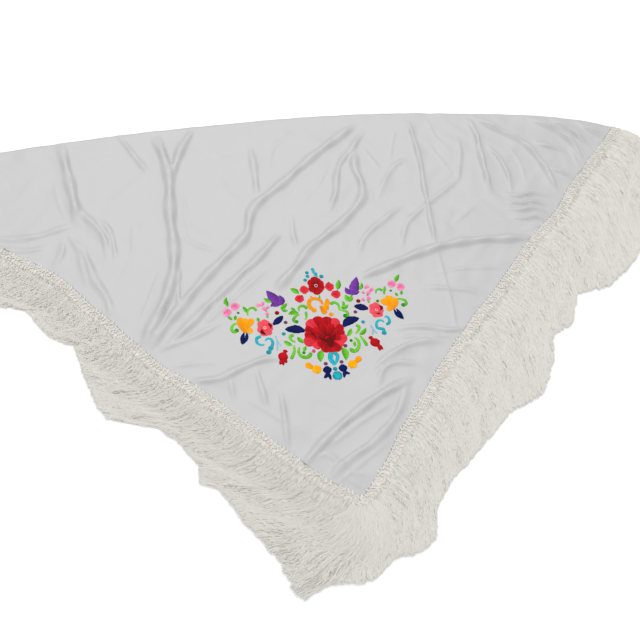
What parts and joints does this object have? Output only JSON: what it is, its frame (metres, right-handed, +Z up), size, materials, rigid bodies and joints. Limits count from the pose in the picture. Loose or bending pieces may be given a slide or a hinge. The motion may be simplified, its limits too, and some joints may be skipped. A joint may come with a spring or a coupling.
{
  "type": "flamenco shawl",
  "caption": "Triangular shawl of white crepe with a bright embroidered flower spray and long knotted fringe, laid out flat with soft folds.",
  "frame": {"origin": "on the surface that the shawl lies on, under the middle of the embroidered spray, on the line of symmetry, 345 mm from the cloth's point", "axes": "+X along the long edge, +Y from the cloth's point towards the long edge, +Z up from the surface"},
  "size_m": [1.7335, 0.986, 0.0105],
  "materials": {
    "shawl_cloth": "white crepe with a soft satin sheen",
    "fringe_yarn": "off-white rayon yarn, soft and slightly glossy",
    "embroidery_thread": "glossy rayon satin stitch in red, coral, pink, amber, green, turquoise, navy and purple"
  },
  "bodies": {
    "root": {"cloth": "shawl_cloth", "fringe_left": "fringe_yarn", "fringe_right": "fringe_yarn"}
  },
  "joints": []
}
